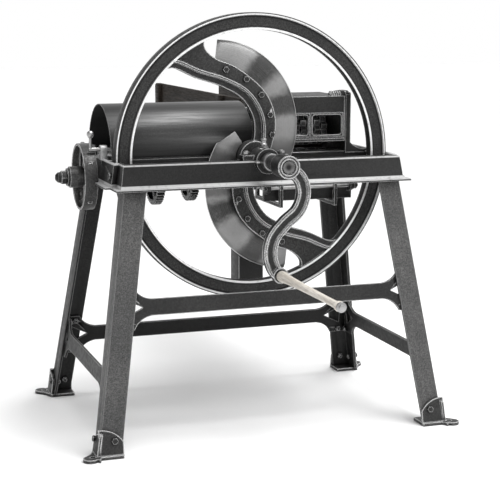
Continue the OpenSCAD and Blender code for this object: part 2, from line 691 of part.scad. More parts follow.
knife_c = [-132, 108];
knife_r = 306;
module knife() difference() {
    intersection() {
        translate([knife_c[0], 0, knife_c[1]]) rotate([90, 0, 0]) rotate_extrude($fn = 128)
            polygon([[100, -knife_y[1]], [knife_r, -knife_y[1]], [knife_r - 16, -knife_y[0]],
                [100, -knife_y[0]]]);
        along_y(knife_y[0] - 1, knife_y[1] + 1) difference() {
            polygon([[-122, 450], [-136, 330], [-40, 150], [40, -56], [63, -90], [118, -54],
                [170, -36], [400, -36], [400, 450]]);
            translate(arm_c) circle(212);
            circle(hub_r + 2);
        }
    }
    for (p = knife_bolt_xz) along_y(knife_y[0] - 5, knife_y[1] + 5) translate(p) circle(6);
}

module knife_upper() color(bright) translate([0, 0, top]) knife();
module knife_lower() color(bright) translate([0, 0, top]) rotate([0, 180, 0]) knife();

module knife_bolts() color(steel) translate([0, 0, top]) for (turn = [0, 180]) rotate([0, turn, 0])
    for (p = knife_bolt_xz) translate([p[0], 0, p[1]]) {
        rod_y(arm_y[0] - 6, knife_y[1] - 1, 6 - fit, 0, 0);
        along_y(arm_y[0] - 7, arm_y[0] - slack) circle(11, $fn = 6);
    }

crank_mid = [[0, 0], [50, -38], [66, -92], [46, -150], [-2, -192], [-42, -240], [-54, -296], [-40, -346],
    crank_end];
module crank_arm() color(iron) translate([0, 0, top]) difference() {
    c = curve(crank_mid, 6);
    union() {
        rod_y(front_y - 230, front_y - 150, 39, 0, 0);
        rod_y(front_y - 152, front_y - 63, 27, 0, 0);
        along_y(crank_y[0] + 6, crank_y[1] - 6) polygon(concat(beside(c, 23), reversed(beside(c, -23))));
        for (s = [-1, 1]) along_y(crank_y[0], crank_y[1])
            polygon(concat(beside(c, 23 * s), reversed(beside(c, 13 * s))));
        rod_y(crank_y[0] - 3, crank_y[1] + 3, 27, crank_end[0], crank_end[1]);
    }
    rod_y(front_y - 226, front_y - 60, main_r, 0, 0);
    rod_y(front_y - 240, front_y - 222, 26, 0, 0);
    rod_y(crank_y[0] - 10, crank_y[1] + 10, 9, crank_end[0], crank_end[1]);
}

grip_y = [crank_y[0] - 5 - grip_len, crank_y[0] - 5];
module handle_bolt() color(steel) translate([crank_end[0], 0, top + crank_end[1]]) {
    rod_y(grip_y[0] - 2, crank_y[1] + 18, 7, 0, 0);
    rod_y(crank_y[0] - 2, crank_y[1] + 3, 9, 0, 0);
    rod_y(grip_y[0] - 9, grip_y[0] - 1, 16, 0, 0);
    rod_y(grip_y[0] - 14, grip_y[0] - 8, 9, 0, 0);
    along_y(crank_y[1] + 3.4, crank_y[1] + 15) circle(14, $fn = 6);
}

module handle_grip() color("burlywood") translate([crank_end[0], grip_y[1], top + crank_end[1]])
    rotate([90, 0, 0]) rotate_extrude() polygon(concat([[7.4, 0], [17, 0]],
        curve([[19, 4], [19.5, 24], [16.5, 60], [14, 140], [12.5, 260], [11.5, 380], [12, grip_len - 36],
            [16, grip_len - 18], [16.5, grip_len - 6], [14, grip_len - 0.5]], 3), [[7.4, grip_len]]));

// ---------- bevel drive and countershaft ----------

// Bevel gear along +Z with its apex at z = reach. The teeth taper towards the apex, run
// back behind z = 0 by heel and stop at radius limit.
module bevel(n, mate, turn, heel, limit) {
    r = gear_m * n / 2;
    reach = gear_m * mate / 2;
    cone = atan(n / mate);
    dist = norm([r, reach]);
    r_tip = reach * tan(cone + atan(0.7 * gear_m / dist));
    r_foot = reach * tan(cone - atan(1.25 * gear_m / dist));
    wide = 90 / n - 0.8 / r * 180 / PI;
    slope = gear_m * tan(pressure_angle) / r * 180 / PI;
    h = bevel_face * cos(cone);
    back = 1 + heel / reach;
    intersection() {
        translate([0, 0, -heel]) linear_extrude(h + heel, scale = (1 - h / reach) / back)
            scale(back) rotate(turn) polygon([for (i = [0:n - 1]) for (k = [0:5])
                let (a = 360 * i / n, w = [wide + 1.25 * slope, wide, wide - slope], q = [r_foot, r, r_tip],
                    j = k < 3 ? k : 5 - k, s = k < 3 ? -1 : 1)
                    q[j] * [cos(a + s * w[j]), sin(a + s * w[j])]]);
        translate([0, 0, -heel - 1]) cylinder(r = limit, h = h + heel + 2);
    }
}

module bevel_pinion() color(steel) difference() {
    reach = gear_m * bevel_teeth[0] / 2;
    union() {
        translate([0, bevel_apex - reach, top]) rotate([-90, 0, 0])
            bevel(bevel_teeth[1], bevel_teeth[0], 180, 0, reach);
        rod_y(bevel_apex - reach - 9, bevel_apex - reach + 1, 23, 0, top);
        rod_y(bevel_apex - reach - 36, bevel_apex - reach - 8, 31, 0, top);
    }
    rod_y(bevel_apex - 200, bevel_apex, main_r, 0, top);
}

module bevel_wheel() color(iron) difference() {
    reach = gear_m * bevel_teeth[1] / 2;
    union() {
        translate([-reach, counter_yz[0], counter_yz[1]]) rotate([90, 0, 90])
            bevel(bevel_teeth[0], bevel_teeth[1], 180 + 180 / bevel_teeth[0], 8, 86);
        rod_x(-reach - 14, -reach - 7.5, 84, counter_yz);
        rod_x(-reach - 40, -reach, 34, counter_yz);
        rod_x(-reach - 1, -reach + 10, 30, counter_yz);
    }
    rod_x(-100, 0, counter_r, counter_yz);
}

module countershaft() color(steel) rod_x(-540, 92, counter_r, counter_yz);

module pinion(teeth, x) translate([0, counter_yz[0], counter_yz[1]])
    spur_gear(teeth, mesh_angle + 180 + 180 / teeth, x, counter_r, [x[0] - 10, x[1] + 10], 26);

module slow_pinion() color(iron) pinion(slow_teeth[1], slow_x + [-2, 2]);
module fast_pinion() color(iron) pinion(fast_teeth[1], fast_x + [-2, 2]);

// ---------- lower feed shaft ----------

key_h = 4;
module lower_shaft() color(steel) {
    rod_x(-640, 388, feed_r, lower_yz);
    along_x(sleeve_x[0] + 4, sleeve_x[1] + shift_travel - 4) translate(lower_yz + [-4, 0])
        square([8, feed_r + key_h]);
    rod_x(-499.5, -470, 26, lower_yz);
}

// Feed roller: toothed discs side by side, alternately half a tooth apart
module feed_roller(r, n, disc, yz, x, bore) translate([0, yz[0], yz[1]]) difference() {
    count = floor((x[1] - x[0]) / disc);
    pitch = (x[1] - x[0]) / count;
    union() {
        for (i = [0:count - 1]) along_x(x[0] + i * pitch, x[0] + (i + 1) * pitch - 4)
            rotate((i % 2) * 180 / n) polygon([for (k = [0:n - 1]) for (j = [0:3])
                let (a = 360 / n * (k + [0, 0.34, 0.5, 0.66][j])) (j == 0 ? r - 12 : j == 2 ? r : r - 4)
                    * [cos(a), sin(a)]]);
        rod_x(x[0], x[1], r - 14, [0, 0]);
    }
    rod_x(x[0] - 5, x[1] + 5, bore, [0, 0]);
}

module lower_roller() color(iron) feed_roller(lower_r, 12, 38, lower_yz, roller_x, feed_r);

star_teeth = 8;
star_m = star_distance / star_teeth;
module star(yz, turn) translate([0, yz[0], yz[1]]) difference() {
    along_x(star_x[0], star_x[1]) rotate(turn) polygon([for (i = [0:star_teeth - 1]) for (k = [0:5])
        let (a = 360 * i / star_teeth, w = [13, 9, 3.5], j = k < 3 ? k : 5 - k, s = k < 3 ? -1 : 1,
            q = [star_distance / 2 - 20, star_distance / 2, star_distance / 2 + 15])
            q[j] * [cos(a + s * w[j]), sin(a + s * w[j])]]);
    rod_x(star_x[0] - 1, star_x[1] + 1, feed_r, [0, 0]);
}

module lower_star_pinion() color(iron) star(lower_yz, 90);
module upper_star_pinion() color(iron) star(upper_yz, -90 + 180 / star_teeth);

module slow_gear() color(iron) translate([0, lower_yz[0], lower_yz[1]]) difference() {
    spur_gear(slow_teeth[0], mesh_angle, slow_x, feed_r + fit, [slow_x[0] - 8, slow_x[1] + 22], 40, 5);
    cone_seat(slow_x[1] + 23, 0);
}

module fast_gear() color(iron) translate([0, lower_yz[0], lower_yz[1]]) difference() {
    spur_gear(fast_teeth[0], mesh_angle, fast_x, feed_r + fit, [fast_x[0] - 20, fast_x[1] + 8], 40, 5);
    cone_seat(fast_x[0] - 21, 1);
}

// Conical recess for the clutch, opening towards +X (turn 0) or -X (turn 1)
module cone_seat(x, turn) translate([x, 0, 0]) mirror([turn, 0, 0]) rotate([0, -90, 0])
    cylinder(r1 = 34, r2 = 27, h = 15);

module clutch_sleeve() color(steel) translate([0, lower_yz[0], lower_yz[1]]) difference() {
    rotate([0, 90, 0]) rotate_extrude() polygon([[feed_r + fit, sleeve_x[0] - 4], [26, sleeve_x[0] - 4],
        [32, sleeve_x[0] + 9], [36, sleeve_x[0] + 9], [36, sleeve_x[0] + 18], [27, sleeve_x[0] + 18],
        [27, sleeve_x[1] - 18], [36, sleeve_x[1] - 18], [36, sleeve_x[1] - 9], [32, sleeve_x[1] - 9],
        [26, sleeve_x[1] + 4], [feed_r + fit, sleeve_x[1] + 4]]);
    along_x(sleeve_x[0] - 5, sleeve_x[1] + 5) translate([-4.2, 0]) square([8.4, feed_r + key_h + 0.3]);
}

module shift_rod() color(steel) {
    fork_x = (sleeve_x[0] + sleeve_x[1]) / 2;
    rod_x(-570, fork_x + 12, 7, shift_yz);
    // Upright handle with a knob at the outer end
    translate([-563, shift_yz[0], shift_yz[1]]) rotate_extrude() polygon([[0, 0], [6, 0], [5, 40], [9, 44],
        [13, 52], [12, 60], [7, 65], [0, 66]]);
    // Fork in the groove of the clutch sleeve
    along_x(fork_x - 4.5, fork_x + 4.5) difference() {
        union() {
            translate(shift_yz) circle(13);
            polygon([shift_yz + [-11, 0], shift_yz + [11, 4], lower_yz + [36, 12], lower_yz + [-40, -4]]);
            translate(lower_yz) circle(42);
        }
        translate(lower_yz) circle(27.6);
        translate(lower_yz) rotate(-58) translate([-27.6, -80]) square([55.2, 80]);
    }
}

module side_pulley() color(iron) translate([0, lower_yz[0], lower_yz[1]]) difference() {
    mid = (pulley_x[0] + pulley_x[1]) / 2;
    union() {
        rotate([0, 90, 0]) rotate_extrude($fn = 96) polygon([[pulley_r - 9, pulley_x[0]],
            [pulley_r - 1, pulley_x[0]], [pulley_r, mid], [pulley_r - 1, pulley_x[1]],
            [pulley_r - 9, pulley_x[1]]]);
        rod_x(-626, -544, 38, [0, 0]);
        for (i = [0:4]) rotate([72 * i, 0, 0]) along_x(mid - 7, mid + 7) {
            c = curve([[20, -22], [50, -34], [80, -26], [102, 2], [pulley_r - 5, 22]], 4);
            polygon(concat(beside(c, 10), reversed(beside(c, -10))));
        }
    }
    rod_x(-640, -500, feed_r, [0, 0]);
}

module pulley_nut() color(steel) difference() {
    pulley_nut_body();
    rod_x(-640 - slack, -600, feed_r + 0.02, lower_yz);
}

module pulley_nut_body() {
    rod_x(-634, -626.5, 32, lower_yz);
    along_x(-654, -634.5) translate(lower_yz) circle(26, $fn = 6);
    translate([-654, lower_yz[0], lower_yz[1]]) rotate([0, -90, 0]) rotate_extrude()
        polygon([[0, 0], [20, 0], [18, 12], [10, 20], [0, 22]]);
}

// ---------- rising roller and its weight ----------

module upper_roller() color(iron) {
    feed_roller(upper_r, 10, 26, upper_yz, upper_x, 10);
    rod_x(star_x[0] - 4, 384, feed_r, upper_yz);
}

lever_t = 12;
lever_low = pivot_yz[1] - 72;
module lever_side(tail) {
    y = [pivot_yz[0], link_y];
    difference() {
        union() {
            translate(pivot_yz) circle(12);
            translate([y[0] - 9, lever_low]) square([18, pivot_yz[1] - lever_low]);
            translate([y[0] - 9, lever_low]) square([y[1] - y[0] + 19, 14]);
            translate([y[1] - 10, lever_low]) square([20, pivot_yz[1] - lever_low + 10]);
            if (tail) {
                translate([y[1] - 10, pivot_yz[1] - 10]) square([tail_yz[0] - y[1] + 10, 20]);
                translate(tail_yz) circle(14);
            }
        }
        translate(pivot_yz) circle(7 + fit);
        if (tail) translate(tail_yz) circle(5 + fit);
    }
}

module weight_lever() color(iron) difference() {
    union() {
        along_x(arm_x[0] - lever_t / 2, arm_x[0] + lever_t / 2) lever_side(true);
        along_x(arm_x[1] - lever_t / 2, arm_x[1] + lever_t / 2) lever_side(false);
        box([link_x[0] - 14, link_y - 10, pivot_yz[1] - 10], [link_x[1] + 14, link_y + 10, pivot_yz[1] + 10]);
    }
    for (x = link_x) translate([x, link_y, pivot_yz[1] - 20]) cylinder(r = 9.5, h = 40);
}

weight_w = 100;
weight_z = [pivot_yz[1] - 440, pivot_yz[1] - 200];
module weight() color(iron) {
    x = arm_x[0];
    translate([x - weight_w / 2, tail_yz[0] - weight_w / 2, weight_z[0]]) cube([weight_w, weight_w,
        weight_z[1] - weight_z[0]]);
    translate([x, tail_yz[0], weight_z[1] - 1]) cylinder(r = 22, h = 13);
    // Shackle round the lever's tail
    translate([x, tail_yz[0], weight_z[1] + 11]) cylinder(r = 7, h = pivot_yz[1] - 40 - weight_z[1] - 11);
    along_y(tail_yz[0] - 9, tail_yz[0] + 9) difference() {
        translate([x - 16, pivot_yz[1] - 42]) square([32, 58]);
        translate([x - 9, pivot_yz[1] - 32]) square([18, 70]);
    }
    rod_x(x - 20, x + 20, 5, tail_yz);
}

front_bar();
rear_bar();
left_side_bar();
right_side_bar();
mid_bar();
leg(-1, -1);  // leg_front_left
leg(1, -1);  // leg_front_right
leg(-1, 1);  // leg_rear_left
leg(1, 1);  // leg_rear_right
foot(-1, -1);  // foot_front_left
foot(1, -1);  // foot_front_right
foot(-1, 1);  // foot_rear_left
foot(1, 1);  // foot_rear_right
stretcher(0, -1);  // stretcher_front
stretcher(0, 1);  // stretcher_rear
stretcher(-1, 0);  // stretcher_left
stretcher(1, 0);  // stretcher_right
frame_bolts();
stretcher_bolts();
front_bearing_cap();
cap_bolts();
oil_cup();
rear_bearing();
bearing_bushes();
ledger_plate();
left_cheek();
right_cheek();
fulcrum_rod();
fulcrum_nuts();
trough();
trough_stays();
gear_cover();
main_shaft();
flywheel();
knife_upper();
knife_lower();
knife_bolts();
crank_arm();
handle_bolt();
handle_grip();
bevel_pinion();
countershaft();
bevel_wheel();
slow_pinion();
fast_pinion();
lower_shaft();
lower_roller();
side_pulley();
pulley_nut();
lower_star_pinion();
slow_gear();
fast_gear();
clutch_sleeve();
shift_rod();
upper_jaw();
link_rods();
upper_roller();
upper_star_pinion();
weight_lever();
weight();
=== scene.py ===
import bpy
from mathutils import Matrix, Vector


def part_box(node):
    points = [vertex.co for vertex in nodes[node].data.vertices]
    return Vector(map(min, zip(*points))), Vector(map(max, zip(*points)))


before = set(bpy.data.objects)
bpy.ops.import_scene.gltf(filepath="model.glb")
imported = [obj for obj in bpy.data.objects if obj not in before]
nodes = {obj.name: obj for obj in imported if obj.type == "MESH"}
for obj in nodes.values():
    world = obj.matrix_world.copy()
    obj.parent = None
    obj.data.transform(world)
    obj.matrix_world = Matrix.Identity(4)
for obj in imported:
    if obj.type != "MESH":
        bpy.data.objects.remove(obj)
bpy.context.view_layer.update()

import math

import bpy
from mathutils import Vector


# ---------------------------------------------------------------- sizes, in metres

shaft_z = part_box("front_bar")[1][2]     # the main shaft lies level with the top of the bars
bar_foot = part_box("front_bar")[0][2]
half_w, half_d = 0.508, 0.305           # half the frame's width and depth over the top of the bars

wheel_r = 0.508
rim_h, rim_w = 0.060, 0.042
bead_w, bead_h = 0.008, 0.005           # the raised edges of the rim's front face
rim_panel_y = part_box("flywheel")[1][1] - rim_w + bead_h

cover_low, cover_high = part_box("gear_cover")
cover_r = (cover_high[1] - cover_low[1]) / 2
cover_sheet_t = 0.0015
cover_yz = ((cover_low[1] + cover_high[1]) / 2, cover_high[2] - cover_r)

grind_centre = (-0.16, 0.09)            # x and z of the blades' grinding arcs, from the main shaft


# ---------------------------------------------------------------- node helpers

class Graph:
    """Short names for building one material's nodes."""

    def __init__(self, name):
        self.mat = bpy.data.materials.new(name)
        self.mat.use_nodes = True
        self.tree = self.mat.node_tree
        self.tree.nodes.clear()
        self.out = self.tree.nodes.new("ShaderNodeOutputMaterial")
        self.bsdf = self.tree.nodes.new("ShaderNodeBsdfPrincipled")
        self.link(self.bsdf.outputs[0], self.out.inputs["Surface"])
        self.coord = self.tree.nodes.new("ShaderNodeTexCoord").outputs["Object"]
        self.geo = self.tree.nodes.new("ShaderNodeNewGeometry")

    def link(self, source, target):
        self.tree.links.new(source, target)

    def put(self, socket, value):
        """Link another socket into this one, or set a plain value."""
        if isinstance(value, bpy.types.NodeSocket):
            self.link(value, socket)
        else:
            socket.default_value = value

    def colour(self, value):
        self.put(self.bsdf.inputs["Base Color"], value)

    def roughness(self, value):
        self.put(self.bsdf.inputs["Roughness"], value)

    def math(self, operation, *values):
        node = self.tree.nodes.new("ShaderNodeMath")
        node.operation = operation
        for socket, value in zip(node.inputs, values):
            self.put(socket, value)
        return node.outputs[0]

    def noise(self, scale, detail=3.0, rough=0.55, stretch=(1, 1, 1), warp=0.0):
        node = self.tree.nodes.new("ShaderNodeTexNoise")
        mapping = self.tree.nodes.new("ShaderNodeMapping")
        mapping.inputs["Scale"].default_value = stretch
        self.link(self.coord, mapping.inputs["Vector"])
        self.link(mapping.outputs[0], node.inputs["Vector"])
        node.inputs["Scale"].default_value = scale
        node.inputs["Detail"].default_value = detail
        node.inputs["Roughness"].default_value = rough
        node.inputs["Distortion"].default_value = warp
        return node.outputs["Fac"]

    def line_noise(self, place, scale, detail):
        """Noise that changes along one value only, such as a radius."""
        node = self.tree.nodes.new("ShaderNodeTexNoise")
        node.noise_dimensions = "1D"
        node.inputs["Scale"].default_value = scale
        node.inputs["Detail"].default_value = detail
        self.put(node.inputs["W"], place)
        return node.outputs["Fac"]

    def ramp(self, value, lo, hi, at_lo=0.0, at_hi=1.0):
        """Smooth step from at_lo to at_hi as value goes from lo to hi."""
        node = self.tree.nodes.new("ShaderNodeMapRange")
        node.interpolation_type = "SMOOTHSTEP"
        for socket, setting in zip(node.inputs, (value, lo, hi, at_lo, at_hi)):
            self.put(socket, setting)
        return node.outputs[0]

    def mix(self, share, first, second):
        """Colour between first and second, by share."""
        node = self.tree.nodes.new("ShaderNodeMix")
        node.data_type = "RGBA"
        self.put(node.inputs[0], share)
        self.put(node.inputs[6], first)
        self.put(node.inputs[7], second)
        return node.outputs[2]

    def edges(self, radius, lo=0.02, hi=0.16):
        """1 on convex edges, 0 on flats."""
        rounded = self.tree.nodes.new("ShaderNodeBevel")
        rounded.samples = 4
        rounded.inputs["Radius"].default_value = radius
        facing = self.tree.nodes.new("ShaderNodeVectorMath")
        facing.operation = "DOT_PRODUCT"
        self.link(rounded.outputs[0], facing.inputs[0])
        self.link(self.geo.outputs["Normal"], facing.inputs[1])
        return self.ramp(self.math("SUBTRACT", 1.0, facing.outputs["Value"]), lo, hi)

    def corners(self, distance):
        """1 in the open, towards 0 in narrow corners."""
        node = self.tree.nodes.new("ShaderNodeAmbientOcclusion")
        node.samples = 4
        node.inputs["Distance"].default_value = distance
        return node.outputs["AO"]

    def xyz(self):
        node = self.tree.nodes.new("ShaderNodeSeparateXYZ")
        self.link(self.coord, node.inputs[0])
        return node.outputs[0], node.outputs[1], node.outputs[2]

    def reach(self, a, b, centre=(0.0, 0.0)):
        """Distance of two coordinates from a point in their plane."""
        from_a, from_b = self.math("SUBTRACT", a, centre[0]), self.math("SUBTRACT", b, centre[1])
        return self.math("SQRT", self.math("ADD", self.math("MULTIPLY", from_a, from_a),
                                           self.math("MULTIPLY", from_b, from_b)))

    def band(self, value, lo, hi, feather):
        """1 between lo and hi, fading out over feather."""
        return self.math("MULTIPLY", self.ramp(value, lo - feather, lo),
                         self.ramp(value, hi, hi + feather, 1.0, 0.0))

    def bump(self, height, strength, distance):
        node = self.tree.nodes.new("ShaderNodeBump")
        node.inputs["Strength"].default_value = strength
        node.inputs["Distance"].default_value = distance
        self.put(node.inputs["Height"], height)
        self.link(node.outputs[0], self.bsdf.inputs["Normal"])


def grey(value, warm=0.0):
    return (value * (1 + warm), value, value * (1 - warm), 1.0)


def shade(colour, factor):
    """The same hue, factor times as bright."""
    return tuple(min(1.0, c * factor) for c in colour[:3]) + (1.0,)


# ---------------------------------------------------------------- materials

def cast_iron(name, base, worn, rough=0.48, radius=0.006, wear=0.85, metal=0.0, spec=0.25,
              rubbed=None, painted_shade=None):
    """Painted or bare casting: sandy grain, slow colour drift, edges rubbed bright, painted shade
    darkening the corners.
    The two optional arguments are functions of the graph that return a mask: the first of handled
    places, rubbed bare and in part painted highlight, the second of painted shade."""
    g = Graph(name)
    drift = g.noise(5.0, 4.0)
    grain = g.noise(420.0, 4.0, 0.65)
    speck = g.noise(70.0, 5.0, 0.6)
    pits = g.noise(190.0, 5.0, 0.7)
    in_open = g.corners(0.02)
    colour = g.mix(g.ramp(drift, 0.3, 0.7), grey(base * 0.72), grey(base * 1.3, 0.015))
    colour = g.mix(g.ramp(pits, 0.42, 0.6, 0.75, 0.0), colour, grey(base * 0.3))
    colour = g.mix(g.math("MULTIPLY", g.ramp(grain, 0.5, 0.72), 0.7), colour, grey(base * 2.6))
    # painted shade: the colour darkens in narrow corners, where shade falls
    colour = g.mix(g.ramp(in_open, 0.15, 0.8, 0.85, 0.0), colour, grey(base * 0.2))

    bare = g.math("MULTIPLY", g.edges(radius, 0.01, 0.11), g.ramp(in_open, 0.5, 0.85))
    # the rubbed masks of the bars and the rim add bright bare metal that is partly painted highlight
    if rubbed:
        bare = g.math("MAXIMUM", bare, rubbed(g))
    bare = g.math("MULTIPLY", bare, g.ramp(speck, 0.25, 0.5, 0.6, 1.0))
    bare = g.math("MULTIPLY", bare, wear)
    # painted shade: the rim's mask darkens the colour and keeps the bright wear off there
    if painted_shade:
        shade_mask = painted_shade(g)
        colour = g.mix(shade_mask, colour, grey(base * 0.15))
        bare = g.math("MULTIPLY", bare, g.math("SUBTRACT", 1.0, shade_mask))

    g.colour(g.mix(bare, colour, grey(worn)))
    g.put(g.bsdf.inputs["Metallic"], g.math("MAXIMUM", g.math("MULTIPLY", bare, 0.7), metal))
    g.roughness(g.math("ADD", g.ramp(speck, 0.3, 0.7, rough - 0.07, rough + 0.09),
                       g.math("MULTIPLY", bare, -0.1)))
    g.bsdf.inputs["Specular IOR Level"].default_value = spec
    g.bump(g.math("ADD", g.math("MULTIPLY", grain, 0.5), g.math("MULTIPLY", speck, 0.35)), 0.35, 0.0008)
    return g.mat


def turned_steel(name, base, rough, axis=1, end_y=None):
    """Machined steel with fine turning marks across the axis and slight staining.
    end_y is where a shaft end faces forward: it is darker, with painted shade for a lathe centre in its
    middle."""
    g = Graph(name)
    stretch = [0.02, 0.02, 0.02]
    stretch[axis] = 1.0
    lines = g.noise(700.0, 3.0, 0.6, stretch)
    stain = g.noise(26.0, 5.0, 0.6)
    in_open = g.corners(0.012)
    colour = g.mix(g.ramp(stain, 0.45, 0.75), grey(base), grey(base * 0.55, 0.03))
    colour = g.mix(g.ramp(lines, 0.35, 0.7, 0.0, 0.35), colour, grey(base * 0.6))
    # painted shade: the colour darkens in narrow corners, where shade falls
    colour = g.mix(g.ramp(in_open, 0.2, 0.8, 0.7, 0.0), colour, grey(base * 0.2))
    if end_y is not None:
        x, y, z = g.xyz()
        face = g.ramp(y, end_y + 0.0004, end_y + 0.001, 1.0, 0.0)
        # painted shade: the end face is darkened, most at its middle, for a lathe centre
        end_darkness = g.ramp(g.reach(x, z, (0.0, shaft_z)), 0.004, 0.016, 0.97, 0.6)
        colour = g.mix(g.math("MULTIPLY", face, end_darkness), colour, grey(0.02))
    g.colour(g.mix(g.math("MULTIPLY", g.edges(0.0015), 0.6), colour, grey(0.85)))
    g.bsdf.inputs["Metallic"].default_value = 1.0
    g.roughness(g.ramp(stain, 0.3, 0.8, rough, rough + 0.2))
    g.bump(lines, 0.12, 0.0002)
    return g.mat


def knife_steel(name, half_turn, reflection_fans):
    """Ground blade: arc-shaped grinding marks, and darker fan-shaped painted reflections about the
    grinding centre, as a ground arc of steel shows them.
    Each fan is its middle angle about the grinding centre, its half width and its darkness."""
    g = Graph(name)
    side = -1.0 if half_turn else 1.0
    x, _, z = g.xyz()
    x = g.math("MULTIPLY", g.math("SUBTRACT", x, side * grind_centre[0]), side)
    z = g.math("MULTIPLY", g.math("SUBTRACT", z, shaft_z + side * grind_centre[1]), side)
    marks = g.line_noise(g.reach(x, z), 700.0, 4.0)
    blotch = g.noise(30.0, 4.0, 0.6)
    speck = g.noise(240.0, 4.0, 0.7)
    ragged = g.math("MULTIPLY", g.math("SUBTRACT", blotch, 0.5), 0.16)
    turn = g.math("ADD", g.math("ARCTAN2", z, x), ragged)
    # painted reflection: dark fans by angle about the grinding centre, and a slightly lighter turn,
    # stand in for the ground steel's reflections
    dark = 0.0
    for middle, half, depth in reflection_fans:
        away = g.math("ABSOLUTE", g.math("SUBTRACT", turn, middle))
        dark = g.math("MAXIMUM", dark, g.ramp(away, half * 0.35, half, depth, 0.0))
    colour = g.mix(g.ramp(turn, 0.75, 1.1), grey(0.27, 0.004), grey(0.3, 0.004))
    colour = g.mix(dark, colour, grey(0.035, 0.01))
    colour = g.mix(g.ramp(blotch, 0.5, 0.8, 0.0, 0.3), colour, grey(0.2, 0.01))
    colour = g.mix(g.ramp(speck, 0.5, 0.68, 0.0, 0.3), colour, grey(0.14))
    colour = g.mix(g.ramp(marks, 0.45, 0.65, 0.0, 0.4), colour, grey(0.16))
    g.colour(g.mix(g.math("MULTIPLY", g.edges(0.003), 0.8), colour, grey(0.9)))
    g.bsdf.inputs["Metallic"].default_value = 0.8
    g.roughness(g.ramp(marks, 0.3, 0.7, 0.32, 0.48))
    g.bump(marks, 0.1, 0.0002)
    return g.mat


def sheet_paint(name, base):
    """Dark satin paint on the rolled cover: streaks along the roll, rougher inside, painted shade
    inside, at its foot and along its crown, and rubbed bright at its cut edges."""
    g = Graph(name)
    streaks = g.noise(14.0, 4.0, 0.55, (0.05, 1.0, 1.0))
    fine = g.noise(120.0, 3.0, 0.6, (0.06, 1.0, 1.0))
    speck = g.noise(320.0, 4.0, 0.6)
    _, y, z = g.xyz()
    inner_r = cover_r - cover_sheet_t
    inside = g.ramp(g.reach(y, z, cover_yz), inner_r - 0.0002, inner_r + 0.0002, 1.0, 0.0)
    # painted shade: darker at the cover's foot and along its crown
    foot = g.ramp(z, cover_yz[1] + 0.01, cover_yz[1] + 0.12, 0.8, 0.0)
    crown = g.ramp(z, cover_yz[1] + inner_r * 0.82, cover_yz[1] + inner_r * 0.97, 0.0, 0.8)
    colour = g.mix(g.ramp(streaks, 0.35, 0.65), grey(base * 0.6), grey(base * 1.4))
    colour = g.mix(g.ramp(fine, 0.35, 0.7, 0.0, 0.5), colour, grey(base * 0.45))
    colour = g.mix(g.ramp(speck, 0.5, 0.7, 0.0, 0.4), colour, grey(base * 2.0))
    colour = g.mix(foot, colour, grey(base * 0.3))
    colour = g.mix(crown, colour, grey(base * 0.25))
    # painted shade: the inside of the sheet is darkened
    colour = g.mix(g.math("MULTIPLY", inside, 0.92), colour, grey(base * 0.12))
    g.colour(g.mix(g.math("MULTIPLY", g.edges(0.003), 0.9), colour, grey(0.8)))
    g.bsdf.inputs["Metallic"].default_value = 0.4
    g.bsdf.inputs["Specular IOR Level"].default_value = 0.3
    g.roughness(g.math("MAXIMUM", g.ramp(fine, 0.3, 0.7, 0.3, 0.44), g.math("MULTIPLY", inside, 0.8)))
    g.bump(g.math("ADD", g.math("MULTIPLY", fine, 0.5), g.math("MULTIPLY", speck, 0.3)), 0.22, 0.0006)
    return g.mat


def wood(name, light, dark, stretch, scale, rough, pores, polish, spec=0.5):
    """Long-grained timber with rings, pores and rubbed edges."""
    g = Graph(name)
    drift = g.noise(3.0, 3.0, 0.5, stretch)
    ring = g.noise(scale, 6.0, 0.6, stretch, 1.2)
    fibre = g.noise(scale * 14, 3.0, 0.6, [s * 0.5 for s in stretch])
    colour = g.mix(g.ramp(ring, 0.3, 0.68), dark, light)
    colour = g.mix(g.ramp(fibre, 0.42, 0.68, 0.0, pores), colour, shade(dark, 0.45))
    colour = g.mix(g.ramp(drift, 0.4, 0.8, 0.0, 0.25), colour, shade(light, 0.7))
    colour = g.mix(g.math("MULTIPLY", g.edges(0.004), 0.5), colour, shade(light, 1.5))
    # painted shade: the wood darkens in narrow corners, where shade falls
    colour = g.mix(g.ramp(g.corners(0.02), 0.2, 0.8, 0.6, 0.0), colour, shade(dark, 0.2))
    g.colour(colour)
    g.roughness(g.ramp(fibre, 0.3, 0.7, rough - 0.06, rough + 0.12))
    g.bsdf.inputs["Specular IOR Level"].default_value = spec
    g.bsdf.inputs["Coat Weight"].default_value = polish
    g.bsdf.inputs["Coat Roughness"].default_value = 0.35
    g.bump(g.math("ADD", g.math("MULTIPLY", fibre, 0.6), g.math("MULTIPLY", ring, 0.4)), 0.3, 0.0006)
    return g.mat


def rim_bead_wear_and_highlight(g):
    """The two raised edges of the rim's front face, bright as rubbed bare metal and as painted
    highlight.
    """
    x, y, z = g.xyz()
    r = g.reach(x, z, (0.0, shaft_z))
    inner_r = wheel_r - rim_h
    outer = g.band(r, wheel_r - bead_w - 0.0015, wheel_r - 0.0045, 0.0008)
    inner = g.band(r, inner_r + 0.0005, inner_r + bead_w - 0.0015, 0.0008)
    raised = g.ramp(y, rim_panel_y - 0.0005, rim_panel_y + 0.0005, 1.0, 0.0)
    return g.math("MULTIPLY", g.math("MAXIMUM", outer, inner), raised)


def rim_painted_shade(g):
    """Painted shade beside the beads and round the rim's outside."""
    x, _, z = g.xyz()
    r = g.reach(x, z, (0.0, shaft_z))
    panel = (wheel_r - rim_h + bead_w, wheel_r - bead_w)
    beside = g.math("MAXIMUM", g.band(r, panel[1] - 0.008, panel[1] - 0.003, 0.002),
                    g.band(r, panel[0] + 0.001, panel[0] + 0.004, 0.003))
    outside = g.ramp(r, wheel_r - 0.004, wheel_r - 0.0025)
    return g.math("MULTIPLY", g.math("MAXIMUM", beside, outside), 0.85)


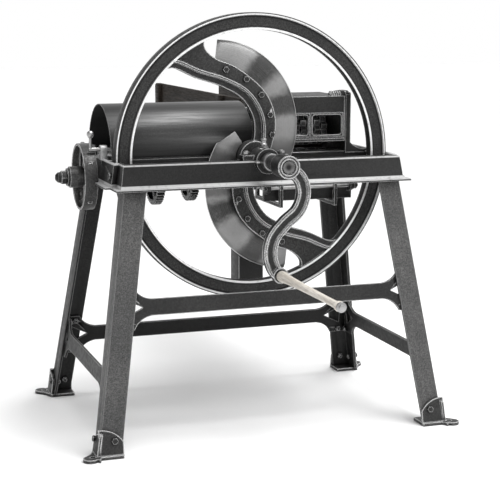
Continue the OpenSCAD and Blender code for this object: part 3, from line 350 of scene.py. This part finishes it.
def bar_wear_and_highlight(g):
    """The lip at the foot of the frame bars and their upper outer edge, bright as rubbed bare metal and
    as painted highlight of faces that catch the top light.
    """
    x, y, z = g.xyz()
    across, along = g.math("ABSOLUTE", x), g.math("ABSOLUTE", y)

    def further_out(start, end):
        """0 to 1 from start to end, both measured outward from the bars' upper outer edge."""
        return g.math("MAXIMUM", g.ramp(across, half_w + start, half_w + end),
                      g.ramp(along, half_d + start, half_d + end))

    lip = g.math("MULTIPLY", further_out(0.001, 0.0025),
                 g.band(z, bar_foot + 0.006, bar_foot + 0.016, 0.002))
    edge = g.math("MULTIPLY", further_out(-0.0045, -0.0025),
                  g.ramp(z, shaft_z - 0.006, shaft_z - 0.004, 0.0, 0.8))
    return g.math("MAXIMUM", g.math("MULTIPLY", lip, 0.8), edge)


IRON = cast_iron("black_iron", 0.014, 0.75)
BAR = cast_iron("bar_iron", 0.013, 0.62, radius=0.003, wear=0.9, rubbed=bar_wear_and_highlight)
FOOT = cast_iron("foot_iron", 0.03, 0.85, radius=0.008, wear=0.95)
# the front stretcher is lighter, and the rear and side stretchers take a darker copy: lit and shaded
# copies of one stretcher iron
STRETCHER = cast_iron("stretcher_iron", 0.024, 0.75)
STRETCHER_PAINTED_SHADE = cast_iron("shaded_iron", 0.007, 0.5, wear=0.6)
# front legs painted lighter and rear legs painted darker: lit and shaded copies of one leg iron
LEG = cast_iron("leg_iron", 0.085, 0.4, rough=0.5, wear=0.5)
LEG_REAR_PAINTED_SHADE = cast_iron("rear_leg_iron", 0.016, 0.4, rough=0.5, wear=0.5)
RIM = cast_iron("wheel_iron", 0.036, 0.85, rough=0.42, radius=0.007, wear=1.0, spec=0.14,
                rubbed=rim_bead_wear_and_highlight, painted_shade=rim_painted_shade)
CRANK = cast_iron("crank_iron", 0.02, 0.92, rough=0.36, radius=0.010, wear=1.0)
BOLT = cast_iron("bolt_iron", 0.03, 0.8, rough=0.4, radius=0.003, metal=0.4)
PULLEY = cast_iron("pulley_iron", 0.07, 0.85, rough=0.36, radius=0.004, metal=0.6)
GEAR = cast_iron("gear_iron", 0.03, 0.75, rough=0.42, radius=0.004, metal=0.3)
ROLLER = cast_iron("roller_iron", 0.12, 0.95, rough=0.4, radius=0.008, metal=0.3)
MAIN_SHAFT = turned_steel("main_shaft_steel", 0.4, 0.26, end_y=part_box("main_shaft")[0][1])
STEEL_X = turned_steel("shaft_steel_x", 0.4, 0.28, axis=0)
STEEL_Y = turned_steel("shaft_steel_y", 0.4, 0.26, axis=1)
STEEL_Z = turned_steel("shaft_steel_z", 0.4, 0.3, axis=2)
BUSH = turned_steel("bush_brass", 0.4, 0.3, axis=1)
COVER = sheet_paint("cover_sheet", 0.05)
BOARD = wood("oiled_boards", (0.022, 0.016, 0.011, 1), (0.006, 0.0045, 0.0035, 1), (1.0, 0.06, 1.0),
             42.0, rough=0.6, pores=0.5, polish=0.0, spec=0.15)
GRIP = wood("grip_ash", (0.84, 0.8, 0.73, 1), (0.54, 0.49, 0.42, 1), (1.0, 0.07, 1.0),
            60.0, rough=0.36, pores=0.4, polish=0.5)
# each tuple gives one painted reflection fan of the blade
BLADE_UPPER = knife_steel("blade_upper", False,
                          ((0.83, 0.24, 0.98), (0.32, 0.2, 0.96), (-0.25, 0.2, 0.45)))
BLADE_LOWER = knife_steel("blade_lower", True,
                          ((1.02, 0.22, 0.9), (0.35, 0.18, 0.96), (0.08, 0.13, 0.6),
                           (-0.27, 0.18, 0.75)))

named_material = {
    "flywheel": RIM, "knife_upper": BLADE_UPPER, "knife_lower": BLADE_LOWER, "crank_arm": CRANK,
    "handle_grip": GRIP, "handle_bolt": STEEL_Y, "main_shaft": MAIN_SHAFT, "bearing_bushes": BUSH,
    "oil_cup": STEEL_Z, "cap_bolts": STEEL_Z, "side_pulley": PULLEY, "countershaft": STEEL_X,
    "lower_shaft": STEEL_X, "shift_rod": STEEL_X, "fulcrum_rod": STEEL_X, "clutch_sleeve": STEEL_X,
    "link_rods": STEEL_Z, "lower_roller": ROLLER, "upper_roller": ROLLER, "ledger_plate": STEEL_X,
    "gear_cover": COVER, "trough": BOARD, "stretcher_front": STRETCHER,
    "stretcher_rear": STRETCHER_PAINTED_SHADE, "stretcher_left": STRETCHER_PAINTED_SHADE,
    "stretcher_right": STRETCHER_PAINTED_SHADE,
}


def material_for(name):
    if name in named_material:
        return named_material[name]
    if name.startswith("foot_"):
        return FOOT
    if name.startswith("leg_"):
        return LEG_REAR_PAINTED_SHADE if "rear" in name else LEG
    if name.endswith("_bar"):
        return BAR
    if name.endswith(("_bolts", "_nuts", "_nut")):
        return BOLT
    if name.endswith(("_gear", "_pinion", "bevel_wheel")):
        return GEAR
    return IRON


# ---------------------------------------------------------------- edges

cast_edge = 0.0018
fine_edge = 0.0006
fine_endings = ("bolts", "nuts", "nut", "pinion", "gear", "shaft", "rod")
named_edge = {
    "knife_upper": 0.0004, "knife_lower": 0.0004, "gear_cover": 0.0012, "trough": 0.003,
    "flywheel": 0.0022, "crank_arm": 0.003, "oil_cup": 0.0006, "handle_grip": 0.0008,
    "bearing_bushes": 0.0005, "link_rods": 0.0005,
}


def edge_for(name):
    return named_edge.get(name, fine_edge if name.endswith(fine_endings) else cast_edge)


def soften(piece, width):
    """Smooth the round faces, weld the loaded triangles and round the hard edges."""
    piece.data.set_sharp_from_angle(angle=math.radians(32))
    piece.data.shade_smooth()
    weld = piece.modifiers.new("weld", "WELD")
    weld.merge_threshold = 1e-6
    bevel = piece.modifiers.new("edge", "BEVEL")
    bevel.width = width
    bevel.segments = 2
    bevel.limit_method = "ANGLE"
    bevel.angle_limit = math.radians(35)
    bevel.harden_normals = False
    bevel.use_clamp_overlap = True


for name, piece in nodes.items():
    soften(piece, edge_for(name))
    piece.data.materials.clear()
    piece.data.materials.append(material_for(name))


# ---------------------------------------------------------------- floor, light and camera

floor_size = 60.0
floor_drop = 0.0005                     # keeps the floor just clear of the soles
camera_at = (-1.600, -4.818, 1.490)
camera_down, camera_right = 9.87, 18.85     # degrees from level and from straight ahead
camera_lens = 99.65


def put_in_scene(name, data):
    made = bpy.data.objects.new(name, data)
    bpy.context.scene.collection.objects.link(made)
    return made


def studio_floor():
    """Wide white floor with a faint unevenness."""
    g = Graph("studio_floor")
    g.colour(g.mix(g.ramp(g.noise(1.5, 3.0), 0.3, 0.7), grey(0.9), grey(0.92)))
    g.bsdf.inputs["Roughness"].default_value = 0.9
    g.bsdf.inputs["Specular IOR Level"].default_value = 0.2
    half = floor_size / 2
    mesh = bpy.data.meshes.new("floor")
    mesh.from_pydata([(-half, -half, 0), (half, -half, 0), (half, half, 0), (-half, half, 0)],
                     [], [(0, 1, 2, 3)])
    mesh.materials.append(g.mat)
    floor = put_in_scene("floor", mesh)
    floor.location = (0, 0, -floor_drop)


def studio_world():
    """White all round the horizon. The upper left is dimmer, so left faces read darker than fronts."""
    world = bpy.data.worlds.new("studio")
    bpy.context.scene.world = world
    world.use_nodes = True
    tree = world.node_tree
    background = tree.nodes["Background"]
    background.inputs["Color"].default_value = (1.0, 1.0, 1.0, 1.0)
    direction = tree.nodes.new("ShaderNodeSeparateXYZ")
    tree.links.new(tree.nodes.new("ShaderNodeTexCoord").outputs["Generated"], direction.inputs[0])

    def ramp(socket, lo, hi, at_lo, at_hi):
        node = tree.nodes.new("ShaderNodeMapRange")
        for target, value in zip(list(node.inputs)[1:5], (lo, hi, at_lo, at_hi)):
            target.default_value = value
        tree.links.new(socket, node.inputs[0])
        return node.outputs[0]

    dim = tree.nodes.new("ShaderNodeMath")
    dim.operation = "MULTIPLY"
    tree.links.new(ramp(direction.outputs["X"], -0.6, 0.05, 0.95, 0.0), dim.inputs[0])
    tree.links.new(ramp(direction.outputs["Z"], 0.22, 0.4, 0.0, 1.0), dim.inputs[1])
    tree.links.new(ramp(dim.outputs[0], 0.0, 1.0, 1.0, 0.0), background.inputs["Strength"])


def softbox(name, where, target, size, power):
    light = bpy.data.lights.new(name, "AREA")
    light.shape = "RECTANGLE"
    light.size, light.size_y = size
    light.energy = power
    box = put_in_scene(name, light)
    box.location = where
    box.rotation_euler = (Vector(target) - Vector(where)).to_track_quat("-Z", "Y").to_euler()


def sky():
    """A very soft sun from above, a little in front and to the right."""
    sun = put_in_scene("sky", bpy.data.lights.new("sky", "SUN"))
    sun.data.energy = 1.4
    sun.data.angle = math.radians(60)
    sun.rotation_euler = (math.radians(18), math.radians(12), 0.0)


studio_floor()
studio_world()
softbox("key", (2.4, -3.4, 3.8), (0, 0, 0.8), size=(2.0, 2.0), power=50)
softbox("top", (0.6, -0.2, 4.4), (-0.2, 0.1, 1.0), size=(2.6, 0.9), power=85)
sky()

camera = put_in_scene("camera", bpy.data.cameras.new("camera"))
camera.location = camera_at
camera.rotation_euler = (math.radians(90 - camera_down), 0.0, math.radians(-camera_right))
camera.data.sensor_width = 36.0
camera.data.lens = camera_lens
camera.data.clip_end = 100.0
bpy.context.scene.camera = camera
bpy.context.scene.view_settings.view_transform = "Standard"
